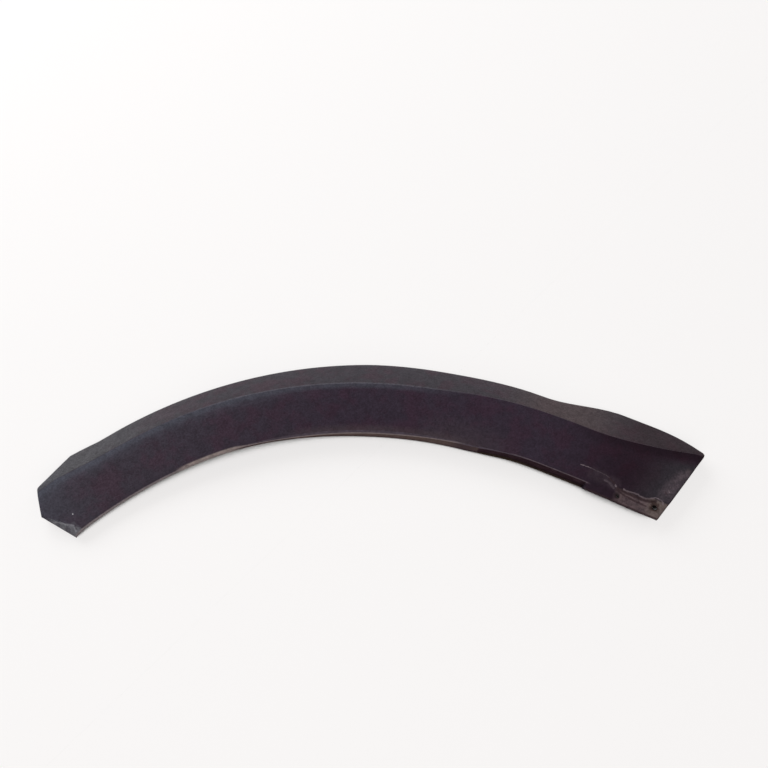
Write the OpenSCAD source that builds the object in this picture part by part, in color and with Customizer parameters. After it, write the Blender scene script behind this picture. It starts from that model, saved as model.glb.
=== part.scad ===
// Wheel arch trim: one moulded shell that edges a wheel opening.
// It lies on its back, as it rests when it is off the vehicle.
// X runs along the vehicle, Y is up the body side and Z points outward.

/* [Wheel opening] */
// Radius of the wheel opening, which the inner edge follows
opening_r = 380; // [300:1:480]
// Angle of the arc from the top of the opening to the left tip
arc_left = 41.5; // [32:0.1:50]
// Angle of the arc from the top to the start of the straight run
arc_right = 22; // [16:0.5:30]
// Length of the straight run at the right end
run_length = 134; // [110:1:180]

/* [Face and band] */
// Width of the main face, from the inner edge to the crease
face_w = 46; // [38:0.5:60]
// Plan width of the sloping band outside the crease
band_w = 27; // [18:0.5:40]
// Height of the crease above the back
crease_h = 25; // [20:0.5:34]
// Fall of the main face from the crease to the inner edge
face_fall = 4; // [1:0.5:8]
// Crown of the main face above a straight line
face_crown = 0.8; // [0:0.1:2]
// Crown of the sloping band
band_crown = 0.6; // [0:0.1:1.5]
// Height of the small riser that makes the crease stand proud of the band
riser_h = 1.1; // [0.3:0.1:1.8]
// Height of the upright edge round the back rim
rim_h = 2.6; // [1.2:0.1:4]
// How far that edge's top stays under the crease at both ends
rim_under = 3.5; // [2:0.1:6]
// Wall thickness
wall = 2.6; // [1.8:0.1:3.2]

/* [Left end] */
// Height of the crease at the left end
left_crease_h = 14; // [12:0.5:22]
// Height of the inner edge at the left tip
left_edge_h = 12; // [10.5:0.5:18]
// Distance from the left tip to the outer corner, along the opening
left_corner = 32; // [22:1:45]
// Width over which the trim stands at the outer corner
left_corner_w = 68; // [60:0.5:78]
// Width at the left end
left_end_w = 57; // [50:0.5:64]
// Width over which the end runs straight out from the tip
tip_w = 6.5; // [2:0.5:10]
// How far the end's peak stands out beyond the tip
peak_out = 10.5; // [4:0.5:18]
// Distance of the end's peak from the inner edge
peak_rho = 32; // [24:0.5:36]
// How far the outer end corner stands out beyond the tip
heel_out = 0; // [0:0.5:8]
// Length of the corner facet at the tip, along the inner edge
bevel_run = 9; // [6:0.5:14]
// Width of the corner facet, along the end
bevel_w = 26; // [18:0.5:30]
// Drop of the corner facet at the tip
bevel_drop = 4.5; // [1:0.5:5]

/* [Right end] */
// Extra width that the crease gains along the right shoulder
shoulder_w = 8; // [2:0.5:14]
// Extra width of the bulge over the straight run
bulge_w = 11.5; // [4:0.5:20]
// How far the bulge draws in again at the outer right corner
corner_draw = 12.5; // [4:0.5:16]
// Width of the band that is left at the right cut
end_band = 2.2; // [1.5:0.1:6]
// Slant of the right cut, per unit of width
cut_slant = 0.335; // [0:0.005:0.5]
// Height of the crease at the right cut
right_crease_h = 18; // [15:0.5:26]
// Height of the inner edge at the right cut
right_edge_h = 16; // [14:0.5:22]
// Length of the end ear that has a single wall
ear_length = 72; // [60:1:85]
// Depth of the ear's lower edge
ear_lip = 4; // [3.8:0.1:6]
// Length of the recessed ledge along the ear's lower edge
ledge_length = 38; // [24:1:48]
// Width of the recessed ledge where it starts
ledge_w = 13; // [11.5:0.5:16]
// Extra width of the ledge near the right cut
ledge_flare = 3.5; // [0:0.5:5]
// Depth of the recessed ledge
ledge_drop = 1.2; // [0.4:0.1:1.6]
// Width of the hollow cove under the crease
cove_w = 17; // [12:0.5:22]
// Depth of that cove
cove_drop = 1; // [0.2:0.1:1.2]

/* [Return flange] */
// Depth of the return flange along the left half
flange_left = 3.8; // [3.8:0.1:8]
// Depth of the return flange right of the top
flange_deep = 17.5; // [12:0.5:19]
// Depth of the return flange along the recess
flange_recess = 14; // [10:0.5:16]
// Radius of the rounded inner edge
edge_round = 2.2; // [0.8:0.1:2.4]
// Length of the recess that ends at the ear
recess_length = 106; // [80:1:120]
// How far the inner edge is drawn in along the recess
recess_w = 5.8; // [3:0.1:6.4]
// Width of the lip at the foot of the flange, along the recess
lip_w = 1.9; // [1:0.1:2.6]
// Thickness of that lip
lip_t = 1.8; // [1.2:0.1:2.4]

/* [Clip seats and ribs] */
// Length of a clip seat along the trim
seat_l = 17; // [14:0.5:20]
// Width of a clip seat across the trim
seat_w = 18; // [15:0.5:20]
// Height of a seat's underside above the back
seat_z = 4; // [2.5:0.5:5]
// Thickness of the seat plate
seat_t = 2.2; // [1.6:0.1:3]
// Thickness of the cheeks that carry a seat
cheek_t = 1.8; // [1.4:0.1:2.5]
// Diameter of the hole that takes a body clip
clip_d = 9; // [7:0.5:10]
// Angle of the top pair of clips each side of the top
clip_top = 7; // [5:0.5:9]
// Angle of the shoulder pair of clips each side of the top
clip_shoulder = 20; // [17:0.5:21]
// Distance of the clip seats from the inner edge
seat_rho = 25; // [23:0.5:27]
// Distance of the right foot's clip seat from the inner edge
foot_rho = 36; // [32:0.5:40]
// Least distance of a foot clip from the left tip
foot_left = 50; // [44:1:60]
// Least distance of a foot clip from the right tip
foot_right = 22; // [20:1:30]
// Thickness of the stiffening ribs
rib_t = 1.6; // [1.2:0.1:2.4]
// Height of the ribs' free edge above the back
rib_z = 7; // [5:0.5:8]
// Distance from the inner edge at which the ribs reach that height
rib_toe = 14; // [10:0.5:20]

/* [Ear holes] */
// Diameter of the locating hole in the ear
pin_d = 3.4; // [2.5:0.1:4.5]
// Distance of the locating hole from the right tip
pin_back = 42; // [36:0.5:46]
// Distance of the locating hole from the inner edge
pin_rho = 5.5; // [5:0.5:7]
// Diameter of the screw hole in the ledge
screw_d = 4.6; // [3.5:0.1:5.5]
// Diameter of the screw hole's countersink
screw_head_d = 7.6; // [6:0.1:8.5]
// Distance of the screw hole from the right tip
screw_back = 8.5; // [7:0.5:11]
// Distance of the screw hole from the inner edge
screw_rho = 9.5; // [8:0.5:10]

/* [Hidden] */
$fn = 48;

// Lengths along the inner edge are measured from the top of the opening,
// and "rho" is the distance from that edge towards the outside.
mm_per_deg = opening_r * PI / 180;
s_left = -arc_left * mm_per_deg;
s_bend = arc_right * mm_per_deg;
s_right = s_bend + run_length;
s_corner = s_left + left_corner;
s_ear = s_right - ear_length;
s_recess = s_ear - recess_length;
s_ledge = s_right - ledge_length;
mid_w = face_w + band_w;
right_w = mid_w + shoulder_w / 2 + bulge_w - corner_draw;

// Stretches over which the outline and the heights change
left_thin = [s_corner + 26, s_corner + 251];
left_dip = 2.6;
crease_out = [s_left, s_left + 54];
crease_swell = [s_recess - 60, s_bend + 35];
edge_swell = [s_recess - 40, s_bend + 10];
bulge_rise = [s_bend + 3, s_bend + 66];
corner_fall = [s_right - 50, s_right];
crease_rise = [s_right - 85, s_right];
cove_grow = [s_ear - 30, s_ear + 30];
left_fade = [s_left, s_left + 187];
right_fade = [s_bend + 44, s_right];
sharpen = [s_corner, s_corner + 120];
flange_grow = [s_corner + 111, s_recess - 74];
flange_ease = [s_recess - 30, s_recess + 65];
recess_open = [s_recess, s_recess + 65];
ledge_rise = [s_ledge - 8, s_ledge + 6];
ledge_widen = [s_right - 22, s_right - 8];

// Small steps and rounds of the profile
draft = 1;
step = 0.8;
bead = 0.3;
foot_clear = 0.5;
sharp_round = 0.5;
soft_round = 6;
wear = 0.12;
corner_round = 0.7;
rim_round = 1;
end_round = 0.75 * wall;
plan_round = 3;

function ramp(x, span) = min(1, max(0, (x - span[0]) / (span[1] - span[0])));
function ease(x, span) = let (t = ramp(x, span)) t * t * (3 - 2 * t);
function mix(a, b, t) = a + (b - a) * t;

// How far the left end is built out beyond its tip: up to the peak, then
// back to the outer end corner
function end_out(rho) =
    rho < peak_rho
    ? peak_out * ramp(rho, [tip_w, peak_rho])
    : mix(peak_out, heel_out, (rho - peak_rho) / (left_end_w - peak_rho));

// Plan position of a point at length s and distance rho
function arc_spot(s, rho) =
    let (a = s / mm_per_deg)
    [(opening_r + rho) * sin(a), (opening_r + rho) * cos(a) - opening_r];
function slant(s) = cut_slant * ramp(s, [s_bend, s_right]);
function spot(s, rho) =
    s <= s_bend
    ? arc_spot(s - end_out(rho) * ramp(s, [s_corner, s_left]), rho)
    : arc_spot(s_bend, rho)
      + (s - s_bend + slant(s) * rho) * [cos(arc_right), -sin(arc_right)];

// Distance from the inner edge to the outer rim, and to the crease
function round_off(r, d) = let (x = max(0, r - d)) r - sqrt(max(0, r * r - x * x));
function rim_at(s) =
    (s < s_corner
     ? mix(left_end_w, left_corner_w, ramp(s, [s_left, s_corner]))
     : mid_w
       - (mid_w - left_corner_w + left_dip) * (1 - pow(ramp(s, left_thin), 0.8))
       + left_dip * ramp(s, [left_thin[0], s_corner])
       + shoulder_w / 2 * ease(s, edge_swell)
       + bulge_w * ease(s, bulge_rise)
       - corner_draw * pow(ramp(s, corner_fall), 2.2))
    - round_off(plan_round, s_right - s)
    - round_off(plan_round, s - s_left) / 2;
function crease_at(s) =
    min(rim_at(s) - end_band,
        face_w
        + (left_end_w - end_band - face_w) * pow(1 - ramp(s, crease_out), 1.5)
        + shoulder_w * ease(s, crease_swell)
        + (right_w - end_band - face_w - shoulder_w) * pow(ramp(s, crease_rise), 1.55));

// Heights of the crease and of the inner edge above the back
function fade(s, left, middle, right) =
    middle
    - (middle - left) * (1 - ease(s, left_fade))
    - (middle - right) * ease(s, right_fade);
function crease_z(s) = fade(s, left_crease_h, crease_h, right_crease_h);
function edge_z(s) = fade(s, left_edge_h, crease_h - face_fall, right_edge_h);

// Top of the upright edge round the back rim
function rim_z(s) =
    mix(rim_h, crease_z(s) - rim_under,
        max(ramp(s, [s_corner, s_left]), pow(ramp(s, corner_fall), 2)));

// The facet at the left tip and the ledge at the right one
function bevel(s, rho) =
    bevel_drop * max(0, 1 - (s - s_left) / bevel_run - rho / bevel_w);
function ledge_at(s) = ledge_w + ledge_flare * ease(s, ledge_widen);
function ledge(s, rho) =
    let (side = [ledge_at(s) - step, ledge_at(s) + step])
    ledge_drop * ease(s, ledge_rise) * (1 - ease(rho, side));

// The cove that runs under the crease at the right end
function cove(s, rho) =
    cove_drop * ease(s, cove_grow) * sin(180 * ramp(rho, [crease_at(s) - cove_w, crease_at(s)]));

// The crease is soft at the left end and sharp from there on, and both
// ends are rounded over
function softness(s) = mix(soft_round, sharp_round, ease(s, sharpen));
function riser(s) = riser_h * mix(0.25, 1, ease(s, sharpen));
function worn(s, rho) =
    wear * softness(s) * pow(1 - min(1, abs(rho - crease_at(s)) / softness(s)), 2);
function end_drop(s) = round_off(end_round, min(s - s_left, s_right - s));

// Height of the outer skin at any point of the face or of the band
function skin_z(s, rho) =
    let (c = crease_at(s), h = crease_z(s),
         on_face = rho / c, on_band = ramp(rho, [c + step, rim_at(s)]))
    (rho <= c
     ? mix(edge_z(s), h, on_face) + 4 * face_crown * on_face * (1 - on_face)
       - bevel(s, rho) - ledge(s, rho) - cove(s, rho)
     : mix(h - riser(s), rim_z(s), on_band) + 4 * band_crown * on_band * (1 - on_band))
    - worn(s, rho) - end_drop(s);

// The inner edge is drawn in along the recess, and turns sharp there
function opened(s, end) = s < end ? ramp(s, recess_open) : 0;
function drawn_in(s, end) = let (t = opened(s, end)) mix(bead, recess_w, t * (2 - t));
function rounding(s) = s > s_ear ? corner_round : mix(edge_round, corner_round, in_recess(s));
function in_recess(s) = ease(s, [s_recess - 2, s_recess + 6]);
function lip_at(s) = let (t = opened(s, s_ear)) mix(bead, lip_w, min(1, 4 * t));

// Height of the return flange's free edge
function flange_z(s) =
    let (full = mix(flange_left, flange_deep, ease(s, flange_grow)),
         less = (flange_deep - flange_recess) * ease(s, flange_ease))
    max(foot_clear, skin_z(s, 0) - (s > s_ear ? ear_lip : full - less));

// Outer profile at length s, from the flange's free edge round to the rim's
function outer_profile(s, foot) =
    let (e = drawn_in(s, s_ear), r = rounding(s), top = skin_z(s, e + r),
         lip_top = foot + min(lip_t, (top - r - foot) / 2),
         c = crease_at(s), w = rim_at(s), soft = softness(s), l = ledge_at(s),
         face = [l - 3, l - step, l, l + step, mix(l + step, peak_rho, 0.5), peak_rho,
                 mix(peak_rho, c - soft, 0.45), mix(peak_rho, c - soft, 0.75),
                 c - soft, c - soft / 2, c, c + step],
         band = [for (k = [0.2, 0.4, 0.6, 0.8, 1]) mix(c + step, w - rim_round, k)])
    concat(
        [[e - lip_at(s), foot], [e - lip_at(s), lip_top], [e, lip_top]],
        [for (a = [0, 30, 60, 90]) [e + r * (1 - cos(a)), top - r * (1 - sin(a))]],
        [for (rho = concat(face, band)) [rho, skin_z(s, rho)]],
        [[w, rim_z(s) - rim_round - end_drop(s)], [w, 0]]
    );

// The profile without its small features, which the inner wall follows
function base_profile(s, foot) =
    let (e = drawn_in(s, s_ear + 2 * step))
    [[e, foot], [e, skin_z(s, e)], [peak_rho, skin_z(s, peak_rho)],
     [crease_at(s), skin_z(s, crease_at(s))],
     [rim_at(s), rim_z(s) - end_drop(s)], [rim_at(s), 0]];

// A line set in to its right by a distance, with mitred corners
function right_of(a, b) = let (d = (b - a) / norm(b - a)) [d.y, -d.x];
function inset(line, by) =
    let (last = len(line) - 1)
    [for (i = [0:last])
        let (before = right_of(line[max(i, 1) - 1], line[max(i, 1)]),
             after = right_of(line[min(i, last - 1)], line[min(i, last - 1) + 1]))
        line[i] + by * (before + after) / (1 + before * after)];

// One closed ring of points: hollow, or filled for an end, down to the back
// and to a foot that slopes up to the flange's edge
function placed(s, points) =
    [for (p = points) let (q = spot(s, p.x)) [q.x + shift.x, q.y + shift.y, p.y]];
function hollow_ring(s) =
    let (foot = flange_z(s), inner = inset(base_profile(s, foot), wall))
    placed(s, concat(outer_profile(s, foot), [for (i = [len(inner) - 1:-1:0]) inner[i]]));
function filled_ring(s) =
    let (foot = flange_z(s), w = rim_at(s))
    placed(s, concat(
        outer_profile(s, foot),
        [for (k = [2:-1:0]) [mix(peak_rho, w - wall, k / 2), 0]],
        [for (k = [2:-1:0]) [mix(wall, peak_rho, k / 3), foot * (1 - k / 2)]]
    ));

// Stations along the trim, with a filled wall at each end
caps = [for (k = [0, 0.08, 0.35, 1]) k * end_round];
function between(a, b, pitch) =
    let (n = ceil((b - a) / pitch)) [for (i = [1:n - 1]) mix(a, b, i / n)];
pitch = 8;
first_hollow = s_left + wall + draft;
last_hollow = s_right - wall - draft;
stations = concat(
    [first_hollow, s_left + bevel_run],
    between(s_left + bevel_run, s_corner, pitch), [s_corner],
    between(s_corner, s_bend, pitch), [s_bend],
    between(s_bend, s_ear - step, pitch),
    [s_ear - step, s_ear + step, s_ear + step + wall],
    between(s_ear + step + wall, s_ledge - pitch, pitch), [s_ledge - pitch],
    between(s_ledge - pitch, last_hollow, pitch / 2), [last_hollow]
);

// The frame's origin is the centre of the outline
left_caps = [for (d = concat(caps, [wall])) s_left + d];
right_caps = [for (d = concat(caps, [wall])) s_right - d];
outline = [for (s = concat(left_caps, stations, right_caps),
                rho = [0, peak_rho, crease_at(s), rim_at(s)]) spot(s, rho)];
xs = [for (p = outline) p.x];
ys = [for (p = outline) p.y];
shift = [-(min(xs) + max(xs)) / 2, -(min(ys) + max(ys)) / 2];

module shell() {
    rings = concat(
        [for (s = left_caps) filled_ring(s)],
        [for (s = stations) hollow_ring(s)],
        [for (i = [len(right_caps) - 1:-1:0]) filled_ring(right_caps[i])]
    );
    count = len(rings[0]);
    far = (len(rings) - 1) * count;
    hub = far + count;
    hubs = [for (s = [s_left, s_right]) placed(s, [[peak_rho, edge_z(s) / 2]])[0]];
    sides = [for (a = [0:count:far - count], k = [0:count - 1])
        let (p = a + k, q = a + (k + 1) % count)
        each [[p, q, p + count], [q, q + count, p + count]]];
    left_fan = [for (k = [0:count - 1]) [hub, (k + 1) % count, k]];
    right_fan = [for (k = [0:count - 1]) [hub + 1, far + k, far + (k + 1) % count]];
    polyhedron(
        concat([for (ring = rings, p = ring) p], hubs),
        concat(sides, left_fan, right_fan)
    );
}

// Places a child at length s and distance rho, with x across the trim
module at(s, rho) {
    p = spot(s, rho) + shift;
    d = spot(s, rho + 1) - spot(s, rho);
    translate([p.x, p.y, 0])
        rotate([0, 0, atan2(d.y, d.x)])
            children();
}

// A rib across the channel, let into the flange, the skin and the band
module rib(s) {
    mid = inset(base_profile(s, 0), wall / 2);
    stretch = norm(spot(s, 1) - spot(s, 0));
    k = (mid[3].y - rib_z) / (mid[3].y - mid[4].y);
    outline = concat(
        [[rib_toe, rib_z], [mid[1].x, flange_z(s) + 1]],
        [for (i = [1:3]) mid[i]],
        [mix(mid[3], mid[4], k)]
    );
    at(s, 0)
        rotate([90, 0, 0])
            linear_extrude(rib_t, center = true)
                polygon([for (p = outline) [p.x * stretch, p.y]]);
}

// A seat for a body clip: a plate on three cheeks, open towards the rim
module clip_seat(s, rho) {
    top = skin_z(s, rho) - wall / 2;
    at(s, rho)
        difference() {
            translate([-seat_w / 2, -seat_l / 2, seat_z])
                cube([seat_w, seat_l, top - seat_z]);
            translate([-seat_w / 2 + cheek_t, -seat_l / 2 + cheek_t, seat_z + seat_t])
                cube([seat_w, seat_l - 2 * cheek_t, top]);
        }
}
module clip_hole(s, rho) {
    at(s, rho)
        translate([0, 0, seat_z - 1])
            cylinder(h = seat_t + 2, d = clip_d);
}

// The two foot clips lie at one height, no nearer to a tip than they may
foot_left_y = spot(s_left + foot_left, seat_rho).y;
foot_right_y = spot(s_right - foot_right, foot_rho).y;
foot_y = max(foot_left_y, foot_right_y);
foot_left_s = -acos((opening_r + foot_y) / (opening_r + seat_rho)) * mm_per_deg;
foot_run = (arc_spot(s_bend, foot_rho).y - foot_y) / sin(arc_right);
foot_right_s = s_bend + foot_run / (1 + cut_slant * foot_rho / run_length);
seats = [
    [foot_left_s, seat_rho],
    [-clip_shoulder * mm_per_deg, seat_rho],
    [-clip_top * mm_per_deg, seat_rho],
    [clip_top * mm_per_deg, seat_rho],
    [clip_shoulder * mm_per_deg, seat_rho],
    [foot_right_s, foot_rho]
];
ribs = [for (i = [0:len(seats) - 2], k = [1 / 3, 2 / 3]) mix(seats[i][0], seats[i + 1][0], k)];

// Holes through the ear
module ear_hole(s, rho, d, head_d) {
    z = skin_z(s, rho);
    at(s, rho) {
        translate([0, 0, z - wall - 1])
            cylinder(h = wall + 2, d = d);
        translate([0, 0, z - (head_d - d) / 2])
            cylinder(h = (head_d - d) / 2 + 1, d1 = d, d2 = head_d + 2);
    }
}

module arch_trim() {
    color([0.2, 0.19, 0.2])
        difference() {
            union() {
                shell();
                for (s = ribs) rib(s);
                for (seat = seats) clip_seat(seat[0], seat[1]);
            }
            for (seat = seats) clip_hole(seat[0], seat[1]);
            ear_hole(s_right - pin_back, pin_rho, pin_d, pin_d);
            ear_hole(s_right - screw_back, screw_rho, screw_d, screw_head_d);
        }
}

arch_trim();
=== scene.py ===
# %% [markdown]
# # A wheel-arch trim in grained black plastic
# The trim is one moulded shell, already built to size in CAD. Blender gives it
# what a mould and a few years on the road give it: a pebbled grain, dust along
# the return flange, a scraped ear at one end and a chipped tip at the other.

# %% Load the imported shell
import math

import bmesh
import bpy
import numpy as np
from mathutils import Matrix, Vector, noise


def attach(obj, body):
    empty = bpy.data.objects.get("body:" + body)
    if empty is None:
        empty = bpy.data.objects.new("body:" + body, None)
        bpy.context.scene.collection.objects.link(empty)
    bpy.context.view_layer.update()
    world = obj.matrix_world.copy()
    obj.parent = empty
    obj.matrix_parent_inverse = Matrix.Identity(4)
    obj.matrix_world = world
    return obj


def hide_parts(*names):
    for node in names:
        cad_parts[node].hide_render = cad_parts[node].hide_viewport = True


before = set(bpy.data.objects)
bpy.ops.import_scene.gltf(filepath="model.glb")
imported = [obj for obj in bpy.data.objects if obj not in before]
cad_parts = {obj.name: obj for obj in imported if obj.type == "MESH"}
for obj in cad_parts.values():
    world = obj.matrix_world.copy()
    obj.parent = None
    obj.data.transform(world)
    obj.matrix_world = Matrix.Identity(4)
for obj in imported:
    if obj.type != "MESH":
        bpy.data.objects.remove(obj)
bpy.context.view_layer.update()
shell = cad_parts["arch_trim"]
MM = 0.001

# %% [markdown]
# Every mark on the trim follows the wheel opening, so two lengths are more use
# than X and Y: "along" runs along the inner edge from the top of the opening,
# and "across" is the distance outward from that edge. Both are in millimetres.
# The right end is cut off at a slant, which starts at the inner edge.

# %% Lengths along and across the arch
OPENING_R = 380
BEND = math.radians(22)
ARC_TOP = Vector((-14.143, 11.270))
ARC_CENTRE = ARC_TOP - Vector((0, OPENING_R))
RUN_WAY = Vector((math.cos(BEND), -math.sin(BEND)))
OUT_WAY = Vector((math.sin(BEND), math.cos(BEND)))
RUN_START = OPENING_R * BEND
RIGHT_TIP, CUT_SLANT = 279.9, 0.335


def arch_place(point):
    """(along, across) of a point of the mesh, in millimetres."""
    p = Vector((point.x, point.y)) / MM - ARC_CENTRE
    angle = math.atan2(p.x, p.y)
    if angle <= BEND:
        return OPENING_R * angle, p.length - OPENING_R
    return RUN_START + p.dot(RUN_WAY), p.dot(OUT_WAY) - OPENING_R


def outward(along):
    """The direction in which "across" grows."""
    angle = min(along / OPENING_R, BEND)
    return Vector((math.sin(angle), math.cos(angle), 0))


print("the run starts", round(RUN_START, 1), "mm right of the top")

# %% [markdown]
# ## The camera
# The photograph looks at the trim from a little below and to its left. The
# camera comes first, so that every render can be laid beside it.

# %% Camera
LENS = 37.73
CAMERA_AT = Vector((-21.64, -198.23, 727.9)) * MM
LOOK_UP, LOOK_SIDE = math.radians(70), math.radians(-6)
towards = Vector((math.cos(LOOK_UP) * math.sin(LOOK_SIDE),
                  -math.cos(LOOK_UP) * math.cos(LOOK_SIDE), math.sin(LOOK_UP)))
right = towards.cross(Vector((0, -1, 0))).normalized()
up = towards.cross(right)
camera = bpy.data.objects.new("camera", bpy.data.cameras.new("camera"))
camera.data.lens = LENS
camera.data.clip_start, camera.data.clip_end = 0.01, 50
camera.matrix_world = (Matrix.Translation(CAMERA_AT)
                       @ Matrix((right, up, towards)).transposed().to_4x4())
bpy.context.scene.collection.objects.link(camera)
bpy.context.scene.camera = camera
print("camera looks along", [round(-v, 3) for v in towards])

# %% [markdown]
# ## The shell
# The shell's CAD mesh is loose triangles, with long thin ones among them. A
# merged copy takes its place. Its crease is found on the mesh itself: the band
# leans outward, the face hardly does, so the crease is where the leaning faces
# begin. The height of the inner edge, its place where the recess draws it in,
# and the height of the recess's sill are read off in the same way.

# %% Copy the shell and find its crease
BAND_LEAN = 0.3
CREASE_START = -262
RECESS = (102.5, 207.8)
PROFILE_STEP = 12


def profile_of(points, choose):
    """One value for each step along the trim, as two lists for np.interp."""
    bins = {}
    for along, value in points:
        bins.setdefault(round(along / PROFILE_STEP), []).append((along, value))
    best = [choose(group, key=lambda item: item[1]) for key, group in sorted(bins.items())]
    return [item[0] for item in best], [item[1] for item in best]


work = bmesh.new()
work.from_mesh(shell.data)
bmesh.ops.remove_doubles(work, verts=work.verts, dist=0.02 * MM)
work.normal_update()
ridge, brow, sill, rim = [], [], [], []
for face in work.faces:
    middle = face.calc_center_median()
    along, across = arch_place(middle)
    corners = [(arch_place(v.co)[0], v.co.z / MM) for v in face.verts]
    if face.normal.z > 0.2 and across > 25 and along > CREASE_START \
            and face.normal.dot(outward(along)) > BAND_LEAN:
        ridge += [arch_place(v.co) for v in face.verts]
    if face.normal.z > 0.2 and across < 10:
        brow += corners
    if face.normal.z > 0.95 and across < 6 and along > RECESS[0] - 1 and middle.z < 12 * MM:
        sill += corners
    if face.normal.z > 0.15 and face.normal.dot(outward(along)) < -0.9 and across < 8 \
            and RECESS[0] < along < RECESS[1]:
        rim += [arch_place(v.co) for v in face.verts]
ridge_along, ridge_across = profile_of(ridge, min)
brow_along, brow_z = profile_of(brow, max)
sill_along, sill_z = profile_of(sill, max)
rim_along, rim_across = profile_of(rim, min)


def past_crease(place):
    return place[1] - float(np.interp(place[0], ridge_along, ridge_across))


print("crease at", [round(-past_crease((s, 0)), 1) for s in (-250, -150, 0, 150, 250)],
      "mm across")

# %% [markdown]
# Years of use leave marks: a scratch from a stone, a scraped step where the ear
# has rubbed on the sill, and a chipped and scuffed left tip. A painted shadow lies
# under the step, a painted highlight along its upper edge, and painted shade in
# the two holes of the ear.
# Each mark is a chain of short strokes, written once here, for the mesh and for
# the finish.

# %% Marks: chain of (along, across), width, depth and paint
MARKS = [
    # painted shadow under the step, as well as a dent
    ([(236.5, 12.0), (245, 11.2), (254, 11.7), (262, 11.4), (268, 12.4), (273, 14.6)],
     1.7, 0.25, "grime_and_shade", 0.85),
    ([(236, 10.2), (244.2, 8.6), (252.5, 7.9), (260.2, 7.5), (266, 7.4)],
     1.2, 0.20, "grime_and_shade", 0.8),
    # painted shade in the screw hollow, as well as a dent
    ([(272.0, 8.4), (275.2, 8.9)], 4.6, 0.40, "brown", 0.9),
    ([(270, 13.0), (276, 12.4)], 2.2, 0.15, "brown", 0.7),
    ([(268.2, 9.9), (269.6, 9.4)], 1.2, 0, "tan", 0.8),
    # painted highlight along the upper edge of the step
    ([(242, 13.4), (247.4, 13.2), (251.3, 13.8), (255.3, 14.1), (258.9, 13.4),
      (263.6, 13.5), (267.3, 15.1), (270.8, 17.0), (273.9, 17.9), (276.8, 17.4),
      (279.5, 16.4), (280.2, 14.8)], 0.85, 0, "pale", 0.75),
    ([(223.6, 14.4), (228.6, 13.6), (233, 10.8)], 1.5, 0.20, "mauve", 0.55),
    ([(212.0, 16.0), (233.0, 15.0)], 8.0, 0, "mauve", 0.22),
    # painted shade in the pin hole
    ([(237.6, 5.6), (238.4, 5.4)], 3.4, 0.12, "hole_shade", 0.75),
    ([(198.4, 19.1), (202.6, 19.6), (208.1, 19.7)], 0.55, 0.20, "pale", 0.8),
    ([(208.1, 19.7), (217.7, 19.3), (226.6, 18.4)], 0.5, 0.16, "pale", 0.3),
    ([(226.6, 17.7), (232.2, 15.1)], 1.2, 0.20, "grime_and_shade", 0.7),
    ([(234.0, 13.8), (234.6, 13.2)], 1.3, 0.15, "pale", 0.85),
    ([(293.5, 52.5), (289.0, 44.0)], 4.0, 0, "tan", 0.22),
    ([(291.0, 47.0), (284.9, 36.3), (279.0, 23.0)], 9.0, 0, "mauve", 0.55),
    ([(287.0, 39.0), (279.5, 25.0)], 4.5, 0, "mauve", 0.6),
    ([(281.5, 28.3), (282.0, 27.3)], 0.9, 0.15, "pale", 0.9),
    ([(279.2, 25.8), (280.0, 24.6)], 1.6, 0.10, "grime_and_shade", 0.5),
    ([(-281.0, 21.6), (-277.8, 17.8), (-273, 11.1), (-270.1, 7.1)], 1.0, 0.08, "chalky", 0.55),
    ([(-270.6, 5.6), (-271.4, 2.6)], 1.0, 0.12, "chalky", 0.8),
    ([(-265.1, 16.4), (-264.9, 16.2)], 0.65, 0.30, "chalk", 1.0),
]
EAR, TIP = ((192, 296), (-2, 34)), ((-286, -256), (-1, 25))


def in_zone(place, zone):
    return all(low < v < high for v, (low, high) in zip(place, zone))


def to_stroke(place, start, end):
    """Distance from a place to the line between two others."""
    p, a, b = Vector(place), Vector(start), Vector(end)
    t = max(0, min(1, (p - a).dot(b - a) / (b - a).length_squared))
    return (p - a.lerp(b, t)).length


def to_mark(place, chain):
    """Distance to a mark, or 9 where it is plainly too far to matter."""
    for value, row in zip(place, zip(*chain)):
        if not min(row) - 6 < value < max(row) + 6:
            return 9
    return min(to_stroke(place, a, b) for a, b in zip(chain, chain[1:]))


print(len(MARKS), "marks in", sum(len(mark[0]) - 1 for mark in MARKS), "strokes")

# %% [markdown]
# Halving only the edges that are too long gives triangles small enough for
# smooth shading and for real dents. They are finer along the crease, and finest
# beside the marks. Before that, one clean cut goes across the flange where the
# painted shade of the recess begins, so that its border is straight. Halving can
# leave a triangle with no width, so its long edge is turned to join the other corners.

# %% Cut the flange where the recess begins
RECESS_SHADE_START = RECESS[0] + 5
turned = RECESS_SHADE_START / OPENING_R
cut_at = ARC_CENTRE + OPENING_R * Vector((math.sin(turned), math.cos(turned)))
near_cut = {}
for face in work.faces:
    along, across = arch_place(face.calc_center_median())
    if abs(along - RECESS_SHADE_START) < 25 and across < 9:
        near_cut.update(dict.fromkeys([face, *face.edges, *face.verts]))
done = bmesh.ops.bisect_plane(work, geom=list(near_cut), dist=0.0001 * MM,
                              plane_co=(*(cut_at * MM), 0),
                              plane_no=(math.cos(turned), -math.sin(turned), 0))
print("cut:", len(done["geom_cut"]), "edges and points")

# %% Refine the mesh where it needs it
COARSE, CREASE_FINE, FINE, FINEST = 7, 2, 1.2, 0.45
CREASE_REACH = 6
THINNEST = 0.004
SKIN_Z = 4 * MM


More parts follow.
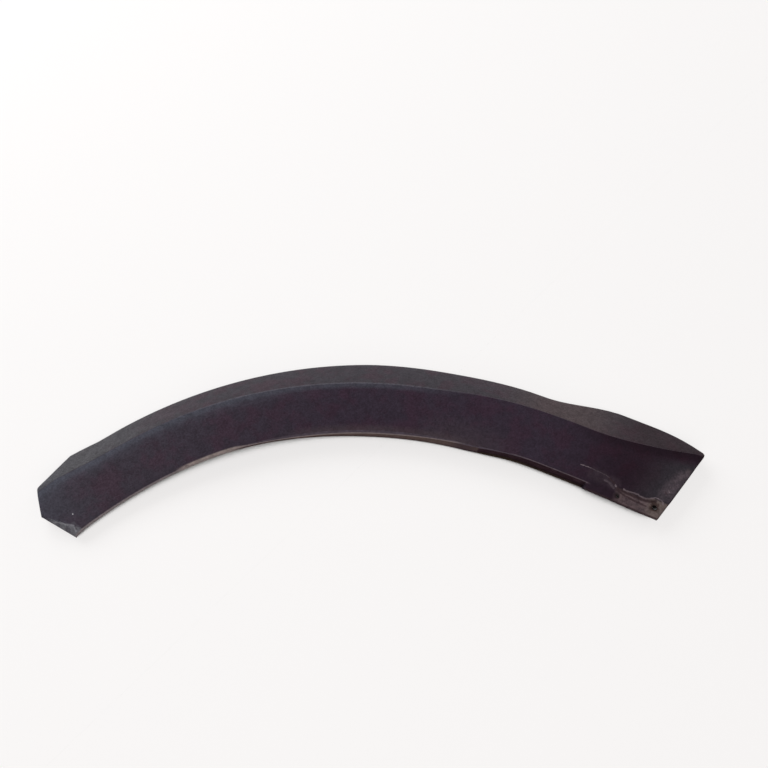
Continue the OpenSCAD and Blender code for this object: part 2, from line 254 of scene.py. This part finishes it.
def too_long(edge):
    length = edge.calc_length() / MM
    if length > COARSE or length < FINEST:
        return length > COARSE
    middle = (edge.verts[0].co + edge.verts[1].co) / 2
    upward = sum(f.normal.z for f in edge.link_faces) / max(1, len(edge.link_faces))
    if upward < 0.4 or middle.z < SKIN_Z:
        return False
    place = arch_place(middle)
    if not (in_zone(place, EAR) or in_zone(place, TIP)):
        return length > CREASE_FINE and abs(past_crease(place)) < CREASE_REACH
    return length > FINE or any(depth and to_mark(place, chain) < width + 0.6
                                for chain, width, depth, paint, strength in MARKS)


def in_order(kind, elements):
    """Faces or edges in the order of the mesh, because a set has no order of its own."""
    kind.index_update()
    return sorted(elements, key=lambda element: element.index)


def turn_flat(edges):
    """Turn the long edge of each flat triangle beside these edges. Gives the new edges."""
    new_edges = []
    for face in in_order(work.faces, {face for edge in edges for face in edge.link_faces}):
        if face.is_valid:
            longest = max(face.edges, key=lambda edge: edge.calc_length())
            if 2 * face.calc_area() < THINNEST * MM * longest.calc_length():
                new_edges.append(bmesh.utils.edge_rotate(longest))
    return [edge for edge in new_edges if edge and edge.is_valid]


to_test = list(work.edges)
for turn in range(12):
    work.normal_update()
    long_edges = [e for e in to_test if too_long(e)]
    if not long_edges:
        break
    cut = bmesh.ops.subdivide_edges(work, edges=long_edges, cuts=1)
    split = bmesh.ops.triangulate(work, faces=[f for f in work.faces if len(f.verts) > 3],
                                  quad_method="SHORT_EDGE")
    to_test = {e for e in cut["geom"] if e.is_valid and isinstance(e, bmesh.types.BMEdge)}
    to_test.update(split["edges"])
    new_edges = to_test
    for again in range(6):
        new_edges = turn_flat(new_edges)
        to_test.update(new_edges)
    to_test = in_order(work.edges, {edge for edge in to_test if edge.is_valid})
seen_once, doubled = {}, []
for face in work.faces:
    twin = seen_once.setdefault(frozenset(face.verts), face)
    if twin is not face:
        doubled += [twin, face]
bmesh.ops.delete(work, geom=list(dict.fromkeys(doubled)), context="FACES")
bmesh.ops.delete(work, geom=[edge for edge in work.edges if not edge.link_faces],
                 context="EDGES")
print("refined in", turn, "turns:", len(work.verts), "vertices,", len(work.faces), "faces,",
      len(doubled), "folded ones taken out")

# %% [markdown]
# A mould never leaves a knife edge. The crease gets its radius by smoothing the
# points beside it. It is widest at the top of the arch and tight at both ends.
# SOFT_TURNS says how often the points are smoothed at each place along the arch.

# %% Round the crease
SOFT_TURNS = [(-300, 0), (-220, 1), (-120, 5), (60, 6), (150, 2), (200, 0), (320, 0)]
ROUND_REACH = 4.5
work.normal_update()
beside = []
for vert in work.verts:
    if vert.normal.z > 0.3 and vert.co.z > SKIN_Z:
        place = arch_place(vert.co)
        if abs(past_crease(place)) < ROUND_REACH and CREASE_START < place[0] < 200:
            turns = np.interp(place[0], *zip(*SOFT_TURNS))
            beside.append((turns, vert))
for turn in range(6):
    chosen = [vert for turns, vert in beside if turns > turn]
    bmesh.ops.smooth_vert(work, verts=chosen, factor=0.5, use_axis_z=True)
print("rounded", len(beside), "points")

# %% [markdown]
# The dents press the skin in, never out, so the trim keeps its size. The ledge
# at the ear's lower edge is also rough, because it has been dragged over stone.

# %% Press the marks into the skin
ROUGH = ((238, 280), (0.5, 13))
ROUGH_DEPTH = 0.3


def bowl(distance, radius):
    t = max(0, 1 - distance / radius)
    return t * t * (3 - 2 * t)


def dent(place):
    """How far the skin is pressed in at a place, in millimetres."""
    wander = 0.3 * noise.noise(Vector((place[0] * 0.4, place[1] * 0.4, 0)))
    shaken = (place[0], place[1] + wander)
    deep = max([0] + [depth * bowl(to_mark(shaken, chain), width * 1.2)
                      for chain, width, depth, paint, strength in MARKS if depth])
    if in_zone(place, ROUGH):
        inside = min((place[0] - ROUGH[0][0]) / 4, (ROUGH[0][1] - place[0]) / 4,
                     (place[1] - ROUGH[1][0]) / 2, (ROUGH[1][1] - place[1]) / 2, 1)
        stone = noise.noise(Vector((place[0] * 0.16, place[1] * 0.55, 3)))
        deep += ROUGH_DEPTH * inside * max(0, stone + 0.25)
    return deep


pressed = 0
for vert in work.verts:
    place = arch_place(vert.co)
    if vert.normal.z > 0.5 and vert.co.z > SKIN_Z and (in_zone(place, EAR) or in_zone(place, TIP)):
        depth = dent(place)
        if depth > 0.01:
            vert.co.z -= depth * MM
            pressed += 1
print("pressed in", pressed, "points")

# %% Make the piece
CRISP = math.radians(24)
work.normal_update()
for face in work.faces:
    face.smooth = True
for edge in work.edges:
    middle = (edge.verts[0].co + edge.verts[1].co) / 2
    place = arch_place(middle)
    rounded = (middle.z > SKIN_Z and abs(past_crease(place)) < ROUND_REACH
               and CREASE_START < place[0] < 170)
    fine = in_zone(place, EAR) and edge.calc_length() < 1.5 * MM
    limit = CRISP * (3 if rounded else 2 if fine else 1)
    edge.smooth = len(edge.link_faces) == 2 and edge.calc_face_angle(0) < limit

trim_mesh = bpy.data.meshes.new("arch_trim_moulding")
work.to_mesh(trim_mesh)
work.free()
trim_mesh.validate()
places = np.array([arch_place(v.co) for v in trim_mesh.vertices])
heights = np.array([v.co.z for v in trim_mesh.vertices]) / MM
values = {
    "along": places[:, 0],
    "across": places[:, 1],
    "from_crease": places[:, 1] - np.interp(places[:, 0], ridge_along, ridge_across),
    "from_rim": places[:, 1] - np.interp(places[:, 0], rim_along, rim_across),
    "depth": np.interp(places[:, 0], brow_along, brow_z) - heights,
}
for name, list_of_values in values.items():
    layer = trim_mesh.attributes.new(name, "FLOAT", "POINT")
    layer.data.foreach_set("value", list_of_values)
leans = {"flange": [], "end_lean": []}
for face in trim_mesh.polygons:
    along, across = arch_place(face.center)
    out = outward(along)
    leans["flange"].append(max(0, -face.normal.dot(out)) * (across < 12))
    leans["end_lean"].append(-face.normal.dot(Vector((out.y, -out.x, 0))) * (face.normal.z > -0.1))
for name, list_of_values in leans.items():
    layer = trim_mesh.attributes.new(name, "FLOAT", "FACE")
    layer.data.foreach_set("value", list_of_values)
trim = bpy.data.objects.new("arch_trim_moulding", trim_mesh)
bpy.context.scene.collection.objects.link(trim)
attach(trim, "root")
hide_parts("arch_trim")
print("piece:", trim.name, len(trim_mesh.polygons), "faces")

# %% [markdown]
# ## The finish
# A mould for exterior trim is etched with a fine leather grain, which hides
# scratches and keeps the black from shining. The effects are small node groups
# that only give out masks, values and heights. The material puts them together.

# %% Node helpers
def feed(tree, socket, value):
    if isinstance(value, bpy.types.NodeSocket):
        tree.links.new(value, socket)
    else:
        socket.default_value = value


def add(tree, kind, feeds=None, **settings):
    made = tree.nodes.new("ShaderNode" + kind)
    for name, value in settings.items():
        setattr(made, name, value)
    for key, value in (feeds or {}).items():
        feed(tree, made.inputs[key], value)
    return made


def maths(tree, operation, *values):
    made = add(tree, "Math", operation=operation)
    for socket, value in zip(made.inputs, values):
        feed(tree, socket, value)
    return made.outputs[0]


def smooth(tree, value, low, high):
    """0 below low, 1 above high and a soft step between."""
    return add(tree, "MapRange", {"Value": value, "From Min": low, "From Max": high},
               interpolation_type="SMOOTHSTEP").outputs["Result"]


def new_group(name, inputs, outputs):
    tree = bpy.data.node_groups.new(name, "ShaderNodeTree")
    for label, kind in inputs:
        tree.interface.new_socket(label, in_out="INPUT", socket_type="NodeSocket" + kind)
    for label, kind in outputs:
        tree.interface.new_socket(label, in_out="OUTPUT", socket_type="NodeSocket" + kind)
    return tree, tree.nodes.new("NodeGroupInput").outputs, tree.nodes.new("NodeGroupOutput").inputs


def use(tree, group_tree, **feeds):
    made = add(tree, "Group", node_tree=group_tree)
    for key, value in feeds.items():
        feed(tree, made.inputs[key], value)
    return made.outputs


def mix(tree, factor, below, above):
    made = add(tree, "Mix", {"Factor": factor}, data_type="RGBA")
    feed(tree, made.inputs[6], below)
    feed(tree, made.inputs[7], above)
    return made.outputs[2]


print("helpers ready")

# %% [markdown]
# The grain is pebbles about 1.2 mm wide with a finer grit on them, and no two
# pebbles are equally dark.

# %% Grain
grain_group, _, out = new_group("leather_grain", [], [("Height", "Float"), ("Pebble", "Float")])
t = grain_group
where = add(t, "TexCoord").outputs["Object"]
bend = add(t, "TexNoise", {"Vector": where, "Scale": 400.0, "Detail": 1.0})
shove = add(t, "VectorMath", {0: bend.outputs["Color"], "Scale": 0.0009}, operation="SCALE")
bent = add(t, "VectorMath", {0: where, 1: shove.outputs[0]}, operation="ADD")
pebbles = add(t, "TexVoronoi", {"Vector": bent.outputs[0], "Scale": 820.0}, feature="F1")
grit = add(t, "TexNoise", {"Vector": where, "Scale": 3200.0, "Detail": 2.0})
dome = maths(t, "SUBTRACT", 1.0, smooth(t, pebbles.outputs["Distance"], 0.1, 0.85))
feed(t, out["Height"], maths(t, "MULTIPLY_ADD", grit.outputs["Fac"], 0.3, dome))
feed(t, out["Pebble"], add(t, "SeparateColor", {0: pebbles.outputs["Color"]}).outputs[0])
print("grain group:", len(t.nodes), "nodes")

# %% [markdown]
# Dust and wear never cover evenly. The patch group breaks any mask into
# islands of a chosen size, and Cover says how much of the surface they take.

# %% Patches
patch_group, put, out = new_group("patches", [("Size", "Float"), ("Cover", "Float")],
                                  [("Mask", "Float")])
t = patch_group
where = add(t, "TexCoord").outputs["Object"]
broad = add(t, "TexNoise", {"Vector": where, "Scale": maths(t, "DIVIDE", 1000.0, put["Size"]),
                            "Detail": 4.0, "Roughness": 0.62})
edge = maths(t, "SUBTRACT", 0.78, maths(t, "MULTIPLY", put["Cover"], 0.56))
feed(t, out["Mask"], smooth(t, broad.outputs["Fac"], edge, maths(t, "ADD", edge, 0.2)))
print("patch group:", len(t.nodes), "nodes")

# %% Window: where a length lies between two others
window_group, put, out = new_group(
    "window", [("Value", "Float"), ("From", "Float"), ("To", "Float"), ("Soft", "Float")],
    [("Mask", "Float")])
t = window_group
rise, fall = (smooth(t, put["Value"], maths(t, "SUBTRACT", put[name], put["Soft"]),
                     maths(t, "ADD", put[name], put["Soft"])) for name in ("From", "To"))
feed(t, out["Mask"], maths(t, "MULTIPLY", rise, maths(t, "SUBTRACT", 1.0, fall)))
print("window group:", len(t.nodes), "nodes")

# %% Stroke: how near a place is to a line
stroke_group, put, out = new_group(
    "stroke", [("Place", "Vector"), ("Start", "Vector"), ("End", "Vector"), ("Width", "Float")],
    [("Mask", "Float")])
t = stroke_group
away = add(t, "VectorMath", {0: put["Place"], 1: put["Start"]}, operation="SUBTRACT").outputs[0]
span = add(t, "VectorMath", {0: put["End"], 1: put["Start"]}, operation="SUBTRACT").outputs[0]
dot = add(t, "VectorMath", {0: away, 1: span}, operation="DOT_PRODUCT").outputs["Value"]
size = add(t, "VectorMath", {0: span, 1: span}, operation="DOT_PRODUCT").outputs["Value"]
share = add(t, "Clamp", {"Value": maths(t, "DIVIDE", dot, size)}).outputs[0]
foot = add(t, "VectorMath", {0: span, "Scale": share}, operation="SCALE").outputs[0]
gap = add(t, "VectorMath", {0: away, 1: foot}, operation="DISTANCE").outputs["Value"]
feed(t, out["Mask"], maths(t, "SUBTRACT", 1.0, smooth(
    t, gap, maths(t, "MULTIPLY", put["Width"], 0.35), put["Width"])))
print("stroke group:", len(t.nodes), "nodes")

# %% [markdown]
# ## The plastic
# The black is painted lighter on the band above the crease and towards the left
# end, and darker at the right end: painted light and shade, as the band faces the
# lamps and the left end is nearest the window lamp. It has a violet cast in some
# places and a blue one in others. Road dust is a warm grey, and the flange is
# browner where spray has dried on it. The colours are linear.

# %% Grained black plastic
RIGHT_SHADED_BLACK = (0.0165, 0.0072, 0.0130, 1)
MID_LIT_BLACK = (0.0300, 0.0192, 0.0300, 1)
LEFT_LIT_BLACK = (0.0400, 0.0300, 0.0400, 1)
VIOLET_CAST = (1.09, 0.90, 0.98, 1)
BLUE_CAST = (0.92, 1.04, 1.04, 1)
BAND_PAINTED_LIGHT = (0.0435, 0.0352, 0.0420, 1)
PALE_PAINTED_LIGHT = (0.0850, 0.0830, 0.0890, 1)
ROSE_HAZE = (0.0860, 0.0650, 0.0670, 1)
SLATE_PAINTED_LIGHT = (0.0610, 0.0640, 0.0820, 1)
RUBBED_HIGHLIGHT = (0.105, 0.100, 0.116, 1)
DUST_AND_LIGHT = (0.290, 0.240, 0.226, 1)
LILAC_DUST_AND_LIGHT = (0.245, 0.215, 0.220, 1)
SHOULDER_HAZE = (0.088, 0.071, 0.092, 1)
WARM_PAINTED_SHADE = (0.0310, 0.0165, 0.0190, 1)
END_BLACK = (0.0190, 0.0140, 0.0180, 1)
END_HAZE = (0.0400, 0.0385, 0.0450, 1)
MAUVE_BROWN = (0.0390, 0.0230, 0.0290, 1)
RECESS_SHADE_BROWN = (0.0260, 0.0140, 0.0185, 1)
FACET_LIGHT_AND_SCUFF = (0.150, 0.152, 0.168, 1)
DRY_SPRAY = (0.103, 0.067, 0.062, 1)
OLIVE = (0.048, 0.032, 0.025, 1)
COVE_PAINTED_SHADE = (0.0018, 0.0012, 0.0016, 1)
LEDGE = (0.112, 0.080, 0.085, 1)
LEDGE_GREY = (0.134, 0.106, 0.096, 1)
PAINTS = {
    "hole_shade": (0.012, 0.007, 0.009, 1),
    "grime_and_shade": (0.036, 0.021, 0.024, 1),
    "brown": (0.040, 0.024, 0.021, 1),
    "tan": (0.127, 0.095, 0.087, 1),
    "pale": (0.170, 0.134, 0.149, 1),
    "mauve": (0.094, 0.072, 0.085, 1),
    "chalky": (0.221, 0.221, 0.243, 1),
    "chalk": (0.520, 0.510, 0.540, 1),
}

plastic = bpy.data.materials.new("grained_black_plastic")
plastic.use_nodes = True
t = plastic.node_tree
shader = t.nodes["Principled BSDF"]


def read(name):
    return add(t, "Attribute", attribute_name=name).outputs["Fac"]


def window(value, low, high, softness):
    return use(t, window_group, Value=value, From=low, To=high, Soft=softness)["Mask"]


def patches(size, cover):
    return use(t, patch_group, Size=size, Cover=cover)["Mask"]


def times(*factors):
    product = factors[0]
    for factor in factors[1:]:
        product = maths(t, "MULTIPLY", product, factor)
    return product


def most(*masks):
    top = masks[0]
    for mask in masks[1:]:
        top = maths(t, "MAXIMUM", top, mask)
    return top


along, across, past = read("along"), read("across"), read("from_crease")
from_rim = read("from_rim")
deep, flange_face, end_lean = read("depth"), read("flange"), read("end_lean")
flat_place = add(t, "CombineXYZ", {0: along, 1: across}).outputs[0]
tremble = add(t, "TexNoise", {"Vector": flat_place, "Scale": 0.45, "Detail": 3.0}).outputs["Color"]
wander = add(t, "VectorMath", {0: tremble, 1: (0.5, 0.5, 0.5)}, operation="SUBTRACT").outputs[0]
wander = add(t, "VectorMath", {0: wander, 1: (1.6, 1.6, 0)}, operation="MULTIPLY").outputs[0]
here = add(t, "VectorMath", {0: flat_place, 1: wander}, operation="ADD").outputs[0]
grain = use(t, grain_group)
small_patches, broken = patches(6.0, 0.72), patches(4.0, 0.95)
print("attributes read")

# %% [markdown]
# Every mask below is a place on the trim: the flange, its recess with its
# painted shade, the lip at the foot of the recess, the rounded edge with its dust
# and painted highlight, the ledge.

# %% Masks of the lower edge
RECESS_PAINT = (RECESS_SHADE_START + 0.6, RECESS[1] - 0.2)
before_recess = window(along, CREASE_START, RECESS_PAINT[0], 0.6)
shoulder = maths(t, "MULTIPLY_ADD", window(along, -84, 64, 42.0), 5.7, 1.6)
below_line = maths(t, "SUBTRACT", deep, shoulder)
sheer = smooth(t, flange_face, 0.5, 0.75)
on_flange = times(sheer, smooth(t, below_line, 0.9, 1.7))
on_shoulder = times(sheer, smooth(t, deep, 0.4, 1.6), before_recess)
# painted shade: the recess in the flange is painted dark brown
recess = times(window(along, *RECESS_PAINT, 0.6), smooth(t, deep, 0.8, 1.3),
               smooth(t, across, 17, 15))
# painted highlight: a pale broken line along the skin edge above the recess
recess_brow_highlight = times(window(along, 138, 210, 4.0), window(from_rim, -0.5, 0.75, 0.3),
                    smooth(t, deep, 1.6, 1.1), maths(t, "MULTIPLY_ADD", broken, 0.35, 0.15))
lip = times(window(along, *RECESS_PAINT, 0.5), smooth(t, deep, 11.8, 12.4),
            smooth(t, across, 6, 4))
spray = times(on_flange, before_recess)
spray_tone = most(patches(12.0, 0.75), smooth(t, along, 40, 95))
line_width = maths(t, "MULTIPLY_ADD", shoulder, 0.35, 0.6)
# a light line along the rounded inner edge: dust and a painted highlight
edge_dust_and_highlight = times(window(maths(t, "DIVIDE", below_line, line_width), -0.5, 0.5, 0.3),
                  smooth(t, across, 3.4, 1.8),
                  window(along, -168, 88, 9.0), maths(t, "MULTIPLY_ADD", broken, 0.5, 0.4))
# the flange at the left end is painted light: dust, and painted light where its underside faces
# the floor and the window lamp
left_dust_and_light = times(most(on_flange, smooth(t, across, 1.4, 0.4)),
                  window(along, -274, -120, 5.0))
rose = times(smooth(t, across, 9, 1), window(along, -60, 95, 35.0), 0.33)
low_haze = times(smooth(t, across, 30, 6), window(along, 60, 128, 25.0), 0.16)
brown_end = times(on_flange, window(along, 84, 106, 10.0), 0.85)
# the slanted facet at the left tip is painted light grey: painted light where it faces the window
# lamp and the floor, with scuffs in patches
facet_light_and_scuff = times(smooth(t, end_lean, 0.12, 0.3), smooth(t, along, -255, CREASE_START),
              smooth(t, across, 30, 18))
print("recess painted from", round(RECESS_PAINT[0], 1), "to", round(RECESS_PAINT[1], 1), "mm")

# %% Masks of the crease and the band above it
band = smooth(t, past, -0.1, 1.3)
# painted light: the band is painted paler towards the left end, nearest the window lamp
lit_band_end = times(band, smooth(t, along, -110, -255), 0.9)
rose_part = times(band, window(along, 132, 212, 28.0), 0.74)
# painted shade: the band is painted darker at the right end
shaded_band_end = times(band, smooth(t, along, 200, 252), 0.5)
end_wall = smooth(t, end_lean, -0.5, -0.8)
below = smooth(t, past, 0.4, -0.4)
# painted light: a lighter slate zone below the crease, where its round catches the light, wider on
# the left half
under_crease_light = times(below, smooth(t, past, -7, -2.5), smooth(t, along, 100, 10), 0.6)
far_under_light = times(below, smooth(t, past, -15, -3), smooth(t, along, -20, -120), 0.42)
# painted shade: the face just below the crease is painted darker near the right end
cove_shade = times(below, smooth(t, past, -10, -1), smooth(t, along, 175, 215), 0.3)
# a thin light line along the crease: partly wear, partly a painted highlight where the edge
# catches the light
crease_rub_and_highlight = times(window(past, -0.9, 0.6, 0.5), smooth(t, along, -190, -60),
                   smooth(t, along, 105, 50), maths(t, "MULTIPLY_ADD", broken, 0.3, 0.25))
# painted light: the left end of the face is painted a lighter slate, nearest the window lamp
left_end_light = times(smooth(t, along, -236, -284), 0.4)
print("crease masks ready")

# %% Masks of the ear
ledge_line = maths(t, "MULTIPLY_ADD", smooth(t, along, 258, 272), 3.5, 13.2)
below_step = smooth(t, maths(t, "SUBTRACT", across, ledge_line), 0.2, -1.2)
ledge = times(window(along, 237, 400, 4.0), below_step, smooth(t, deep, 4.5, 2.8),
              maths(t, "MULTIPLY_ADD", small_patches, 0.5, 0.45))
ledge_grey = times(smooth(t, along, 262, 274), below_step, smooth(t, deep, 4.5, 2.8), 0.7)
cut_gap = maths(t, "SUBTRACT", maths(t, "MULTIPLY_ADD", across, CUT_SLANT, RIGHT_TIP), along)
cut_line = times(smooth(t, cut_gap, 1.1, 0.4), smooth(t, along, 262, 270))
edge_line = times(smooth(t, across, 1.3, 0.5), smooth(t, along, 206, 210))
cut_haze = times(smooth(t, cut_gap, 50, 6), smooth(t, past, -5, -16),
                 smooth(t, end_lean, -0.6, -0.3), 0.62)
print("ear masks ready")

# %% [markdown]
# The colours go on as a painter would put them on: the plain black first, then
# the hazes, several of them painted light and shade, the dust and the spray, and
# the marks last of all.

# %% Colours from the bottom up
tone = maths(t, "MULTIPLY_ADD", patches(22.0, 0.72), 0.8,
             maths(t, "MULTIPLY", grain["Pebble"], 0.2))
cast = mix(t, tone, VIOLET_CAST, BLUE_CAST)
# painted light and shade: the black is darkest at the right end and lighter towards the left end,
# where the window lamp is
colour = mix(t, smooth(t, along, 250, 150), RIGHT_SHADED_BLACK, MID_LIT_BLACK)
colour = mix(t, smooth(t, along, 20, -270), colour, LEFT_LIT_BLACK)
# painted light: the band above the crease, which faces the lamps, is painted lighter
colour = mix(t, band, colour, BAND_PAINTED_LIGHT)
colour = add(t, "VectorMath", {0: colour, 1: cast}, operation="MULTIPLY").outputs[0]
# Among these layers is painted light and shade: the band lighter at its left end and darker at its
# right end, the lighter zone under the crease and at the left end of the face, the dark cove, the
# highlights on the crease, the inner edge and the brow, the light on the left flange and the tip
# facet, and the shade of the recess.
layers = [
    (lit_band_end, PALE_PAINTED_LIGHT),
    (rose_part, ROSE_HAZE),
    (shaded_band_end, WARM_PAINTED_SHADE),
    (end_wall, END_BLACK),
    (far_under_light, SLATE_PAINTED_LIGHT),
    (under_crease_light, SLATE_PAINTED_LIGHT),
    (cove_shade, COVE_PAINTED_SHADE),
    (crease_rub_and_highlight, RUBBED_HIGHLIGHT),
    (left_end_light, SLATE_PAINTED_LIGHT),
    (rose, ROSE_HAZE),
    (low_haze, ROSE_HAZE),
    (cut_haze, END_HAZE),
    (times(facet_light_and_scuff, maths(t, "MULTIPLY_ADD", small_patches, 0.65, 0.25)), FACET_LIGHT_AND_SCUFF),
    (times(on_shoulder, maths(t, "MULTIPLY_ADD", small_patches, 0.3, 0.6)), SHOULDER_HAZE),
    (times(spray, 0.9), DRY_SPRAY),
    (times(spray, spray_tone, 0.45), OLIVE),
    (brown_end, MAUVE_BROWN),
    (times(edge_dust_and_highlight, 0.66), DUST_AND_LIGHT),
    (recess_brow_highlight, PAINTS["pale"]),
    (times(left_dust_and_light, 0.85), LILAC_DUST_AND_LIGHT),
    # dust and painted light on the left part of the flange
    (times(window(along, -168, -112, 5.0), most(edge_dust_and_highlight, spray)), DUST_AND_LIGHT),
    (recess, RECESS_SHADE_BROWN),
    (lip, OLIVE),
    (ledge, LEDGE),
    (ledge_grey, LEDGE_GREY),
]
for chain, width, depth, paint, strength in MARKS:
    strokes = [use(t, stroke_group, Place=here, Start=(*a, 0), End=(*b, 0), Width=width)["Mask"]
               for a, b in zip(chain, chain[1:])]
    mask = times(most(*strokes), smooth(t, deep, 7, 5), strength)
    if width > 3.5 and depth == 0:
        mask = times(mask, maths(t, "MULTIPLY_ADD", small_patches, 0.6, 0.35))
    elif width < 1:
        mask = times(mask, maths(t, "MULTIPLY_ADD", broken, 0.55, 0.45))
    layers.append((mask, PAINTS[paint]))
layers += [(times(cut_line, 0.8), PAINTS["grime_and_shade"]), (times(edge_line, 0.7), PAINTS["grime_and_shade"])]
for mask, over in layers:
    colour = mix(t, mask, colour, over)
shade = maths(t, "MULTIPLY_ADD", patches(8.0, 0.7), 0.16, 0.74)
shade = maths(t, "MULTIPLY_ADD", grain["Pebble"], 0.36, shade)
shaded = add(t, "VectorMath", {0: colour, "Scale": shade}, operation="SCALE").outputs[0]
feed(t, shader.inputs["Base Color"], shaded)
dusty = most(*[mask for mask, over in layers])
feed(t, shader.inputs["Roughness"], maths(t, "MULTIPLY_ADD", dusty, 0.35, 0.55))
shader.inputs["Specular IOR Level"].default_value = 0.07
bump = add(t, "Bump", {"Height": grain["Height"], "Distance": 0.00012, "Strength": 0.9})
feed(t, shader.inputs["Normal"], bump.outputs["Normal"])
trim_mesh.materials.clear()
trim_mesh.materials.append(plastic)
print("plastic:", len(t.nodes), "nodes,", len(layers), "layers")

# %% [markdown]
# The recess in the flange is painted dark brown and matt: painted shade, for a
# deep slot gives little light back. Along its top a paler brow is painted as a
# highlight, reaching lower near its left end. It gets a finish of its own, without
# any gloss, because the gloss is one number for a whole finish.

# %% Matt painted shade of the recess
RECESS_SHADE_PATCH = (0.0400, 0.0225, 0.0290, 1)
recess_shade_finish = bpy.data.materials.new("matt_recess_shade")
recess_shade_finish.use_nodes = True
t = recess_shade_finish.node_tree
recess_shader = t.nodes["Principled BSDF"]
patchy_shade = mix(t, patches(9.0, 0.6), RECESS_SHADE_BROWN, RECESS_SHADE_PATCH)
brow_edge = maths(t, "MULTIPLY_ADD", smooth(t, read("along"), 165, 112), 3.6, 0.9)
under_brow = maths(t, "SUBTRACT", read("depth"), brow_edge)
# painted highlight above the brow edge, painted shade in two browns below it
feed(t, recess_shader.inputs["Base Color"], mix(t, smooth(t, under_brow, -0.5, 0.5), SHOULDER_HAZE, patchy_shade))
recess_shader.inputs["Roughness"].default_value = 1.0
recess_shader.inputs["Specular IOR Level"].default_value = 0.0
lumps = add(t, "Bump", {"Height": use(t, grain_group)["Height"], "Distance": 0.0002,
                        "Strength": 0.8})
feed(t, recess_shader.inputs["Normal"], lumps.outputs["Normal"])
trim_mesh.materials.append(recess_shade_finish)
in_recess = 0
# the faces of the recess get the painted shade finish
for face in trim_mesh.polygons:
    along, across = arch_place(face.center)
    height = face.center.z / MM
    above_sill = height > np.interp(along, sill_along, sill_z) + 0.3
    below_brow = height < np.interp(along, brow_along, brow_z) - 1
    if RECESS_SHADE_START < along < RECESS[1] and -1 < across < 8 and above_sill and below_brow \
            and face.normal.dot(outward(along)) < 0.35:
        face.material_index = 1
        in_recess += 1
print("recess shade painted on", in_recess, "faces")

# %% [markdown]
# ## The setting
# A black part shows best on a plain pale floor. The floor looks white to the
# camera and keeps the trim's shadow, but it lights the trim only as much as pale
# paper would. Where little open air is above it, under and beside the trim, its
# colour and its glow are darkened: painted shade.

# %% Floor
NEAR_WHITE = (0.995, 0.982, 0.977, 1)
PALE_PAPER = (0.90, 0.88, 0.87, 1)
UNDER_TRIM_SHADE = (0.02, 0.012, 0.01, 1)
bpy.ops.mesh.primitive_plane_add(size=60)
floor = bpy.context.object
floor.name = "floor"
paper = bpy.data.materials.new("pale_floor")
paper.use_nodes = True
t = paper.node_tree
sheet = t.nodes["Principled BSDF"]
sheet.inputs["Roughness"].default_value = 0.9
glow = add(t, "Emission", {"Color": NEAR_WHITE})


def any_straight_ray(tree):
    """1 for what the camera or a reflection sees, 0 for the light that falls on things."""
    path = add(tree, "LightPath").outputs
    return maths(tree, "MAXIMUM", path["Is Camera Ray"], maths(
        tree, "MAXIMUM", path["Is Glossy Ray"], path["Is Transmission Ray"]))


seen = any_straight_ray(t)
open_air = add(t, "AmbientOcclusion", {"Distance": 0.15}, samples=12).outputs["AO"]
# painted shade: the floor's colour turns dark where little open air is above it
feed(t, sheet.inputs["Base Color"], mix(t, smooth(t, open_air, 0.15, 0.45),
                                        UNDER_TRIM_SHADE, PALE_PAPER))
away = add(t, "VectorMath", {0: add(t, "TexCoord").outputs["Object"]}, operation="LENGTH")
far = smooth(t, away.outputs["Value"], 0.8, 2.4)
share = maths(t, "MULTIPLY_ADD", far, 0.28, 0.72)
blend = add(t, "MixShader", {0: maths(t, "MULTIPLY", seen, share)})
# painted shade: the glow is dimmed where little open air is above the floor
feed(t, glow.inputs["Strength"], maths(t, "MULTIPLY", smooth(t, open_air, 0.36, 0.44),
                                       maths(t, "MULTIPLY_ADD", far, -0.05, 1.0)))
feed(t, blend.inputs[1], sheet.outputs[0])
feed(t, blend.inputs[2], glow.outputs[0])
feed(t, t.nodes["Material Output"].inputs["Surface"], blend.outputs[0])
floor.data.materials.append(paper)


# %% Lamps
def lamp(name, place, size, watts, colour=(1, 1, 1)):
    data = bpy.data.lights.new(name, "AREA")
    data.shape, data.size, data.size_y = "RECTANGLE", size[0], size[1]
    data.energy, data.color = watts, colour
    made = bpy.data.objects.new(name, data)
    made.location = place
    made.rotation_euler = (-Vector(place)).to_track_quat("-Z", "Y").to_euler()
    bpy.context.scene.collection.objects.link(made)
    print("lamp", name, watts, "W")
    return made


lamp("window", (-1.05, 1.25, 1.1), (1.8, 1.2), 34, (0.97, 0.985, 1.0))
lamp("room", (0.1, -1.5, 1.2), (2.2, 1.2), 14.5, (1, 0.94, 0.92))
lamp("doorway", (1.4, 1.3, 1.0), (1.0, 1.4), 6, (1, 0.93, 0.91))
world = bpy.data.worlds.new("room_air")
world.use_nodes = True
t = world.node_tree
air = t.nodes["Background"]
air.inputs["Color"].default_value = (1, 0.99, 0.98, 1)
air.inputs["Strength"].default_value = 0.25
backdrop = add(t, "Background", {"Color": NEAR_WHITE, "Strength": 0.95})
blend = add(t, "MixShader", {0: any_straight_ray(t)})
feed(t, blend.inputs[1], air.outputs[0])
feed(t, blend.inputs[2], backdrop.outputs[0])
feed(t, t.nodes["World Output"].inputs["Surface"], blend.outputs[0])
bpy.context.scene.world = world
bpy.context.scene.view_settings.view_transform = "Standard"
